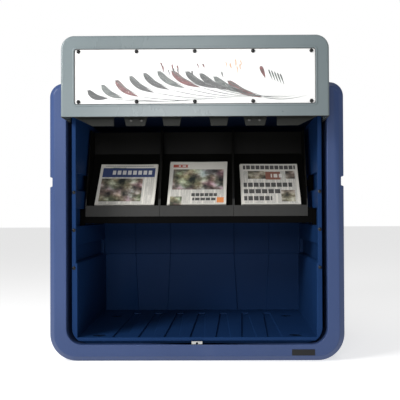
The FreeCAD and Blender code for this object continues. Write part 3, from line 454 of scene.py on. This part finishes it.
# %% [markdown]
# ## Rim of the poster window
#
# The recess has a raised, rounded rim. A thin black ring lies at the edge of the clear cover as painted
# shade, the shadow line that the recess edge throws. Both are rings with round corners: a single face,
# bevelled at its vertices, inset, emptied and extruded.

# %% Poster rim
SQUARE_EDGE = 1.2
SAME_PLANE = 1e-5


def ring(name, material, grow, width, corner, front, depth, soft):
    """A band round the poster; grow is how far its outline lies outside the poster's edge."""
    bm = bmesh.new()
    bmesh.ops.create_grid(bm, x_segments=1, y_segments=1, size=0.5)
    left, right, _, _, foot, top = POSTER
    for vert in bm.verts:
        x = (left - grow) + (vert.co.x + 0.5) * (right - left + 2 * grow)
        z = (foot - grow) + (vert.co.y + 0.5) * (top - foot + 2 * grow)
        vert.co = Vector((x, front, z))
    bmesh.ops.bevel(bm, geom=bm.verts[:], offset=corner, offset_type="OFFSET", segments=8, profile=0.5,
                    affect="VERTICES", clamp_overlap=False, material=-1)
    middle = bm.faces[:]
    bmesh.ops.inset_region(bm, faces=middle, thickness=width, use_boundary=True, use_even_offset=True)
    bmesh.ops.delete(bm, geom=middle, context="FACES")
    grown = bmesh.ops.extrude_face_region(bm, geom=bm.faces[:])
    pushed = [part for part in grown["geom"] if isinstance(part, bmesh.types.BMVert)]
    bmesh.ops.translate(bm, verts=pushed, vec=(0, depth, 0))
    bmesh.ops.recalc_face_normals(bm, faces=bm.faces[:])
    rims = [edge for edge in bm.edges if edge.is_manifold and edge.calc_face_angle(0) > SQUARE_EDGE
            and all(abs(vert.co.y - front) < SAME_PLANE for vert in edge.verts)]
    bmesh.ops.bevel(bm, geom=rims, offset=soft, offset_type="OFFSET", segments=3, profile=0.5,
                    affect="EDGES", clamp_overlap=True, material=-1)
    open_edges = sum(not edge.is_manifold for edge in bm.edges)
    print(name, len(bm.faces), "faces,", open_edges, "open edges")
    return smooth(new_piece(bm, name, material, "door"), 50)


DOOR_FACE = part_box("door_shell")[0].y
COVER_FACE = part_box("poster_cover")[0].y
ring("poster_rim", DOOR_GREY, grow=0.007, width=0.0075, corner=0.017,
     front=DOOR_FACE - 0.0022, depth=0.0035, soft=0.0016)
# A black ring of painted shade along the inner edge of the recess.
ring("poster_shade_bead", RUBBER, grow=0.0008, width=0.0034, corner=0.0115,
     front=COVER_FACE - 0.0011, depth=0.0014, soft=0.0004)

# %% [markdown]
# ## Bins and rails
#
# Each bin is a thin moulded box with a heavy rolled lip. The lip's round edge and the gaps between bins
# catch a line of light, and all the bin's sharp edges are bevelled to the same width.

# %% Bins and rails
# The bins' material paints a highlight on the front of each lip.
for side in ("left", "centre", "right"):
    soften(f"bin_{side}", BIN_BLACK, 0.0011, 2)
for node in ("shelf_rail_front", "shelf_rail_rear", "rail_blocks_front", "rail_blocks_rear",
             "rod_guides"):
    soften(node, RAIL_BLACK, 0.0008, 2)

# %% [markdown]
# ## Hardware
#
# Small turned parts keep their engineering shape and get a metal, a plastic or a rubber surface. The
# screws that face the reader are made again in the next cells, because their domes need to be rounder.

# %% Hardware
refinish(DULL_STEEL, "rib_bolts")
refinish(ZINC, "pivot_pin_left", "pivot_pin_right", "arm_bolts", "latch_rod", "lock_keeper",
         "keeper_screws", "lock_barrel", "lock_housing")
refinish(ACETAL, "pivot_bush_left", "pivot_bush_right", "pivot_washer_inner_left",
         "pivot_washer_outer_left", "pivot_washer_inner_right", "pivot_washer_outer_right")
refinish(POWDER, "door_arm_left", "door_arm_right")
refinish(RUBBER, "stop_buffer_left", "stop_buffer_right")

# %% [markdown]
# ## Dome screws
#
# Ten black domes hold the poster cover and six more hold the liner. A dome is a half profile spun about
# its axis: a flat rim, a round cap and a small hexagonal socket sunk in the middle. The profile is drawn
# from a few vertices with bmesh and spun, and then turned to face the reader.

# %% Verts that hang together
def joined_to(verts):
    """All the vertices that can be reached along edges from the ones given."""
    found = set(verts)
    spread = list(verts)
    while spread:
        vert = spread.pop()
        for edge in vert.link_edges:
            other = edge.other_vert(vert)
            if other not in found:
                found.add(other)
                spread.append(other)
    return found


def islands(node):
    """Boxes of a node's separate solids, from left to right, as pairs of corners."""
    bm = merged_copy(node)
    left = set(bm.verts)
    found = []
    while left:
        group = joined_to([next(iter(left))])
        left -= group
        spots = [vert.co.copy() for vert in group]
        found.append((Vector(map(min, zip(*spots))), Vector(map(max, zip(*spots)))))
    bm.free()
    return sorted(found, key=lambda corners: tuple(round(value, 4) for value in corners[0]))


# %% Dome screws
def dome(bm, middle, radius, height):
    """Adds one dome that faces the front, with its rim on the point middle."""
    rise = (radius ** 2 + height ** 2) / (2 * height)
    half = math.asin(min(1.0, radius / rise))
    bend = [bm.verts.new((radius, 0, 0)), bm.verts.new((radius, 0, height * 0.12))]
    for step in range(1, 9):
        turn = half * (1 - step / 9)
        if rise * math.sin(turn) > radius * 0.3:
            bend.append(bm.verts.new((rise * math.sin(turn), 0, height - rise + rise * math.cos(turn))))
    lip = bend[-1].co.copy()
    bend.append(bm.verts.new((radius * 0.27, 0, lip.z)))
    bend.append(bm.verts.new((radius * 0.25, 0, height * 0.45)))
    bend.append(bm.verts.new((0, 0, height * 0.40)))
    edges = [bm.edges.new(pair) for pair in zip(bend, bend[1:])]
    bmesh.ops.spin(bm, geom=bend + edges, cent=(0, 0, 0), axis=(0, 0, 1), angle=math.tau, steps=28,
                   use_merge=True)
    face_front = Matrix.Translation(middle) @ Matrix.Rotation(math.pi / 2, 4, "X")
    bmesh.ops.transform(bm, matrix=face_front, verts=list(joined_to(bend)))


def dome_row(node, radius, height):
    bm = bmesh.new()
    spots = islands(node)
    for low, high in spots:
        dome(bm, Vector(((low.x + high.x) / 2, low.y + height, (low.z + high.z) / 2)), radius, height)
    bmesh.ops.remove_doubles(bm, verts=bm.verts[:], dist=1e-6)
    bmesh.ops.recalc_face_normals(bm, faces=bm.faces[:])
    made = new_piece(bm, node + ".domes", BLACK, body_of(node))
    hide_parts(node)
    print(node, "has", len(spots), "domes")
    return smooth(made, 50)


dome_row("poster_screws", 0.008, 0.0045)
dome_row("liner_fixings", 0.008, 0.0045)

# %% [markdown]
# ## Poster
#
# The poster is a white printed sheet with a fan of plain strokes and small ticks and bars round it. Ink
# is thinner than anything else here, so the sheet stays as it is and each stroke is a flat leaf of ink a
# tenth of a millimetre in front of it, under the clear cover. A leaf starts as a grid, and its width
# follows a half sine along a bent line.

# %% Poster inks
def ink(name, colour, second):
    board = Board(name, Roughness=0.5, Specular_IOR_Level=0.3)
    strokes = board.clouds(30, 5, 0.7, board.stretch(1.0, 1.0, 3.2))
    uneven_ink = board.ramp(strokes, (0.38, 0.0), (0.66, 1.0))
    return board.finish(Base_Color=board.blend(uneven_ink, colour, second))


PAPER_WHITE = ink("poster paper", (0.80, 0.80, 0.79), (0.86, 0.855, 0.84))
INKS = {
    "soot": ink("soot ink", (0.008, 0.009, 0.010), (0.05, 0.05, 0.05)),
    "slate": ink("slate ink", (0.035, 0.045, 0.042), (0.14, 0.16, 0.15)),
    "wine": ink("wine ink", (0.075, 0.008, 0.009), (0.20, 0.035, 0.035)),
    "sand": ink("sand ink", (0.62, 0.34, 0.18), (0.72, 0.50, 0.36)),
}
thin_sheet("poster_sheet", PAPER_WHITE, False)


# %% Poster strokes
INK_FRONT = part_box("poster_sheet")[0].y - 0.0001
POSTER_WIDE = POSTER[1] - POSTER[0]
POSTER_TALL = POSTER[5] - POSTER[4]


def leaf(bm, root, tip, wide, sag, layer, steps=14):
    """A bent blade from its round end to its thin end, in shares of the poster's width and height."""
    start = Vector((POSTER[0] + root[0] * POSTER_WIDE, 0, POSTER[4] + root[1] * POSTER_TALL))
    end = Vector((POSTER[0] + tip[0] * POSTER_WIDE, 0, POSTER[4] + tip[1] * POSTER_TALL))
    run = end - start
    across = Vector((-run.z, 0, run.x)).normalized()
    grid = bmesh.ops.create_grid(bm, x_segments=steps, y_segments=2, size=0.5)
    for vert in grid["verts"]:
        share = vert.co.x + 0.5
        swell = math.sin(math.pi * share ** 0.55) ** 0.8 if 0 < share < 1 else 0.0
        middle = start + run * share + across * sag * math.sin(math.pi * share)
        vert.co = middle + across * vert.co.y * wide * max(swell, 0.03)
        vert.co.y = INK_FRONT - layer * 0.00001


def print_layer(name, material, leaves):
    bm = bmesh.new()
    for number, (root, tip, wide, sag) in enumerate(leaves):
        leaf(bm, root, tip, wide, sag, number)
    for face in bm.faces:
        face.normal_update()
        if face.normal.y > 0:
            face.normal_flip()
    print(name, "has", len(leaves), "strokes")
    return new_piece(bm, name, material, "door")


LEAVES = 11
heads = [(0.055 + 0.058 * n, 0.20 + 0.40 * math.sin(math.pi * (n + 0.4) / 12.5) ** 0.9)
         for n in range(LEAVES)]
blades = [((x, z), (x + 0.085 + 0.006 * n, max(0.11, z - 0.30)), 0.026, -0.012)
          for n, (x, z) in enumerate(heads)]
tails = [(tip, (0.52 + 0.045 * n, 0.10 + 0.006 * n), 0.0028, -0.012)
         for n, (_, tip, _, _) in enumerate(blades)]
edges = [((x - 0.003, z + 0.015), (tip[0] + 0.01, tip[1] + 0.01), 0.0045, -0.006)
         for (x, z), (_, tip, _, _) in zip(heads, blades)]
print_layer("poster_dark_leaves", INKS["soot"], [b for n, b in enumerate(blades) if n % 4 in (0, 3)])
print_layer("poster_grey_leaves", INKS["slate"], [b for n, b in enumerate(blades) if n % 4 == 1])
print_layer("poster_red_leaves", INKS["wine"], [b for n, b in enumerate(blades) if n % 4 == 2])
print_layer("poster_leaf_edges", INKS["slate"], edges)
print_layer("poster_tails", INKS["slate"], tails)

# %% [markdown]
# ## Poster ticks and bars
#
# Above the leaves are a few ticks in two inks, and to the right a few pale marks, one red bar and some
# thin bars where a poster would have its words. They are plain marks, so nothing on the poster can be
# read.

# %% Poster ticks and bars
def ticks(count, left, right, low, high):
    marks = []
    for _ in range(count):
        x = chance.uniform(left, right)
        z = chance.uniform(low, high)
        marks.append(((x, z), (x + chance.uniform(0.002, 0.008), z - chance.uniform(0.08, 0.15)),
                      chance.uniform(0.004, 0.007), chance.uniform(-0.003, 0.003)))
    return marks


print_layer("poster_red_ticks", INKS["wine"], ticks(6, 0.34, 0.60, 0.66, 0.76))
print_layer("poster_dark_ticks", INKS["soot"], ticks(6, 0.34, 0.62, 0.58, 0.70))
print_layer("poster_sand_marks", INKS["sand"], ticks(7, 0.62, 0.70, 0.68, 0.82))
print_layer("poster_red_bar", INKS["wine"], [((0.772, 0.68), (0.792, 0.46), 0.016, 0)])
print_layer("poster_word_bars", INKS["slate"],
            [((0.805 + 0.012 * row, 0.62 - 0.02 * row), (0.822 + 0.012 * row, 0.42 - 0.02 * row),
              0.006, 0) for row in range(5)])

# %% [markdown]
# ## Newspapers
#
# The papers lean in their bins. Each pile is a few dozen folded sheets, and from the front one sees the
# top sheet's print and the fanned edges of the rest. A sheet is a bmesh grid with a small curl, given a
# thickness by solidify, and slipped a little from its neighbour. Its print is a procedural pattern on the
# sheet's own UV map: columns of grey lines, a heading band and a picture block, none of which is
# lettering.

# %% Newsprint
def block(across, up, x, y, half_x, half_y):
    """One inside a rectangle of the page, and nought outside it."""
    return (abs(across - x) < half_x) * (abs(up - y) < half_y)


def newsprint(name, banner, pictures, headings, warm):
    """A front page: a banner, picture blocks and heading bars over columns of grey lines."""
    board = Board(name, Specular_IOR_Level=0.15, Roughness=0.85)
    place = board.node("ShaderNodeUVMap", {"uv_map": "page"})
    across = board.node("ShaderNodeSeparateXYZ", sockets={"Vector": place}, output="X")
    up = board.node("ShaderNodeSeparateXYZ", sockets={"Vector": place}, output="Y")
    fleck = board.clouds(260, 3, 0.6)
    printed = board.blend(fleck, (0.62, 0.60, 0.545), (0.74, 0.72, 0.665))
    fine = board.node("ShaderNodeMapping", sockets={"Vector": place, "Scale": (90, 4, 1)})
    words = board.node("ShaderNodeTexNoise", {"noise_dimensions": "2D"},
                       {"Vector": fine, "Scale": 1.0, "Detail": 2.0})
    column = abs((across * 5.0) % 1.0 - 0.5) < 0.43
    line = ((up * 64.0) % 1.0) > 0.45
    text = column * line * (words > 0.42) * block(across, up, 0.5, 0.42, 0.455, 0.40)
    printed = board.blend(text * 0.6, printed, (0.14, 0.14, 0.14))
    tones = board.node("ShaderNodeTexNoise", None, {"Vector": place, "Scale": 6.0, "Detail": 6.0})
    tints = board.node("ShaderNodeTexNoise", None, {"Vector": place, "Scale": 3.2, "Detail": 2.0},
                       output=1)
    shade = board.ramp(tones, (0.34, (0.03, 0.03, 0.03)), (0.5, (0.20, 0.17, 0.13)),
                       (0.68, (0.66, 0.60, 0.52)))
    shade = board.blend(warm, shade, tints, "OVERLAY")
    for x, y, half_x, half_y in pictures:
        printed = board.blend(block(across, up, x, y, half_x, half_y), printed, shade)
    for x, y, half_x, half_y, pitch, colour in headings:
        gaps = ((across * pitch) % 1.0) > 0.17
        printed = board.blend(block(across, up, x, y, half_x, half_y) * gaps * 0.9, printed, colour)
    x, y, half_x, half_y, ground = banner
    printed = board.blend(block(across, up, x, y, half_x, half_y), printed, ground)
    pale = (((across * 11.0) % 1.0) > 0.3) * block(across, up, x + 0.06, y, half_x * 0.75, half_y * 0.45)
    printed = board.blend(pale * 0.85, printed, (0.75, 0.74, 0.70))
    return board.finish(Base_Color=printed, Normal=board.bump(fleck, 0.2, 0.0004))


# %% Three front pages
# A picture is (x, y, half width, half height) on the page, and a heading adds its pitch and its ink.
INK_BLACK = (0.025, 0.025, 0.028)
NEWS = {
    "left": newsprint("blue banner paper", (0.5, 0.79, 0.46, 0.115, (0.045, 0.065, 0.16)),
                      [(0.40, 0.36, 0.36, 0.28), (0.30, 0.80, 0.14, 0.12)],
                      [(0.5, 0.955, 0.42, 0.010, 31.0, (0.2, 0.2, 0.2))], 0.55),
    "centre": newsprint("red banner paper", (0.18, 0.90, 0.13, 0.035, (0.42, 0.10, 0.07)),
                        [(0.50, 0.58, 0.44, 0.24), (0.14, 0.08, 0.10, 0.10)],
                        [(0.62, 0.22, 0.22, 0.035, 13.0, INK_BLACK),
                         (0.62, 0.12, 0.20, 0.030, 11.0, INK_BLACK),
                         (0.90, 0.10, 0.06, 0.06, 0.3, (0.72, 0.22, 0.04))], 0.7),
    "right": newsprint("grey banner paper", (0.56, 0.70, 0.13, 0.10, (0.25, 0.11, 0.08)),
                       [(0.86, 0.72, 0.08, 0.10), (0.28, 0.72, 0.16, 0.10), (0.80, 0.20, 0.12, 0.14)],
                       [(0.50, 0.91, 0.46, 0.050, 12.0, INK_BLACK),
                        (0.46, 0.47, 0.42, 0.052, 10.0, INK_BLACK),
                        (0.36, 0.31, 0.32, 0.052, 9.0, INK_BLACK),
                        (0.28, 0.14, 0.24, 0.052, 10.5, INK_BLACK)], 0.2),
}


# %% Piles of papers
PAGE_SHARE = 0.975
PAPER_THICKNESS = 0.00045


def pile(side, sheets, slips, cut=0.0, shift=0.0, skew=0.0):
    """Folded papers that fill the solid of one pile, stacked back to front along its lean."""
    node = f"newspapers_{side}"
    solid = merged_copy(node)
    corners = [vert.co.copy() for vert in solid.verts]
    solid.free()
    left, right = min(spot.x for spot in corners), max(spot.x for spot in corners)
    profile = sorted({(round(spot.y, 4), round(spot.z, 4)) for spot in corners}, key=lambda pair: pair[1])
    low_pair = sorted(profile[:2])
    high_pair = sorted(profile[-2:])
    low = Vector((0, *low_pair[0]))
    lean = (Vector((0, *high_pair[0])) - low)
    deep = Vector((0, *low_pair[1])) - low
    bm = bmesh.new()
    page = bm.loops.layers.uv.new("page")
    for number in range(sheets):
        share = number / (sheets - 1)
        slip, twist, drop = slips(share)
        grid = bmesh.ops.create_grid(bm, x_segments=10, y_segments=12, size=0.5)
        faces = {face for vert in grid["verts"] for face in vert.link_faces}
        for face in faces:
            for loop in face.loops:
                loop[page].uv = (loop.vert.co.x + 0.5, loop.vert.co.y + 0.5)
        for vert in grid["verts"]:
            u, v = vert.co.x, vert.co.y + 0.5
            curl = 0.0016 * math.sin(u * 5 + number) * v + 0.0022 * (1 - share) * v ** 2 * math.cos(u * 3)
            vert.co = low + lean * (0.012 + (0.976 - cut - drop) * v) + deep * (0.06 + 0.86 * share)
            vert.co.x = (left + right) / 2 + shift + u * (right - left) * PAGE_SHARE + slip
            vert.co.x += (twist + skew) * (v - 0.5)
            vert.co += deep.normalized() * curl * 0.5
    bmesh.ops.solidify(bm, geom=bm.faces[:], thickness=PAPER_THICKNESS)
    bmesh.ops.recalc_face_normals(bm, faces=bm.faces[:])
    made = new_piece(bm, f"papers_{side}", NEWS[side], "cabinet")
    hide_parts(node)
    print(node, "has", sheets, "papers and", len(made.data.polygons), "faces")
    return smooth(made, 60)


def uneven(amount):
    """How far a sheet slips aside, twists and drops. Here it is chance, and doesn't depend on its place."""
    def slips(share):
        return chance.uniform(-amount, amount), chance.uniform(-amount, amount), chance.uniform(0, 0.02)
    return slips


pile("left", 18, uneven(0.0022), cut=0.075, shift=0.010, skew=0.008)
pile("centre", 15, uneven(0.0018), cut=0.02, shift=0.002, skew=0.006)
pile("right", 17, uneven(0.0026), cut=0.075, shift=0.001, skew=-0.004)

# %% [markdown]
# ## Stage, light and camera
#
# The box stands on a plain pale floor in soft studio light: a large lamp to the left and above for the
# bright side of the door, a weaker one to the right, and a white surround that fills the shadows. The
# camera is nearly level and in front, at the height of the pivots.

# %% Stage
bm = bmesh.new()
bmesh.ops.create_grid(bm, x_segments=2, y_segments=2, size=30)
floor_mesh = bpy.data.meshes.new("floor")
bm.to_mesh(floor_mesh)
bm.free()
floor = bpy.data.objects.new("floor", floor_mesh)
bpy.context.scene.collection.objects.link(floor)
floor_board = Board("pale floor", Roughness=0.9, Specular_IOR_Level=0.1, Emission_Strength=0.62,
                    Emission_Color=(1.0, 1.0, 1.0, 1.0))
floor_mesh.materials.append(floor_board.finish(
    Base_Color=floor_board.blend(floor_board.clouds(3, 3), (0.60, 0.60, 0.60), (0.62, 0.62, 0.62))))
print("the floor is laid")

# %% Surround
world = bpy.data.worlds.new("white surround")
bpy.context.scene.world = world
world.use_nodes = True
sky = world.node_tree
sky.nodes["Background"].inputs["Color"].default_value = (1.0, 1.0, 1.0, 1)
seen = sky.nodes.new("ShaderNodeLightPath")
level = sky.nodes.new("ShaderNodeMapRange")
level.inputs["To Min"].default_value = 0.26
level.inputs["To Max"].default_value = 1.0
sky.links.new(seen.outputs["Is Camera Ray"], level.inputs["Value"])
sky.links.new(level.outputs["Result"], sky.nodes["Background"].inputs["Strength"])
print("the surround is white")


# %% Lamps
def lamp(name, place, aim, size, power):
    light = bpy.data.lights.new(name, "AREA")
    light.shape = "RECTANGLE"
    light.size, light.size_y = size
    light.energy = power
    made = bpy.data.objects.new(name, light)
    bpy.context.scene.collection.objects.link(made)
    made.location = place
    made.rotation_euler = (Vector(aim) - Vector(place)).to_track_quat("-Z", "Y").to_euler()
    return made


lamp("left window", (-2.4, -2.2, 2.2), (-0.3, -0.4, 1.0), (1.2, 1.2), 105)
lamp("front fill", (-0.4, -4.8, 1.6), (0, 0, 0.4), (1.4, 1.0), 46)
lamp("overhead", (0, -0.6, 4.2), (0, -0.2, 0.0), (4.0, 3.0), 34)
print("lamps:", [light.name for light in bpy.data.lights])

# %% Camera
YAW, PITCH, ROLL = math.radians(0.475), math.radians(0.765), math.radians(-0.233)
CAMERA_PLACE = (0.1198, -3.3529, 0.6317)
camera_data = bpy.data.cameras.new("camera")
camera_data.lens = 61.61
camera_data.sensor_width = 36
camera_data.shift_x = -0.0468
camera_data.shift_y = 0.0118
camera = bpy.data.objects.new("camera", camera_data)
bpy.context.scene.collection.objects.link(camera)
look = Vector((-math.sin(YAW) * math.cos(PITCH), math.cos(YAW) * math.cos(PITCH), math.sin(PITCH)))
side = look.cross(Vector((0, 0, 1))).normalized()
up = side.cross(look)
right = side * math.cos(ROLL) + up * math.sin(ROLL)
above = right.cross(look)
turned = Matrix((right, above, -look)).transposed().to_4x4()
camera.matrix_world = Matrix.Translation(CAMERA_PLACE) @ turned
bpy.context.scene.camera = camera
print("the camera stands", round(-CAMERA_PLACE[1], 2), "in front")
bpy.context.scene.view_settings.view_transform = "Standard"

# %% [markdown]
# ## Updating the scene
#
# At the end the view layer is updated once more.

# %% Last update
bpy.context.view_layer.update()
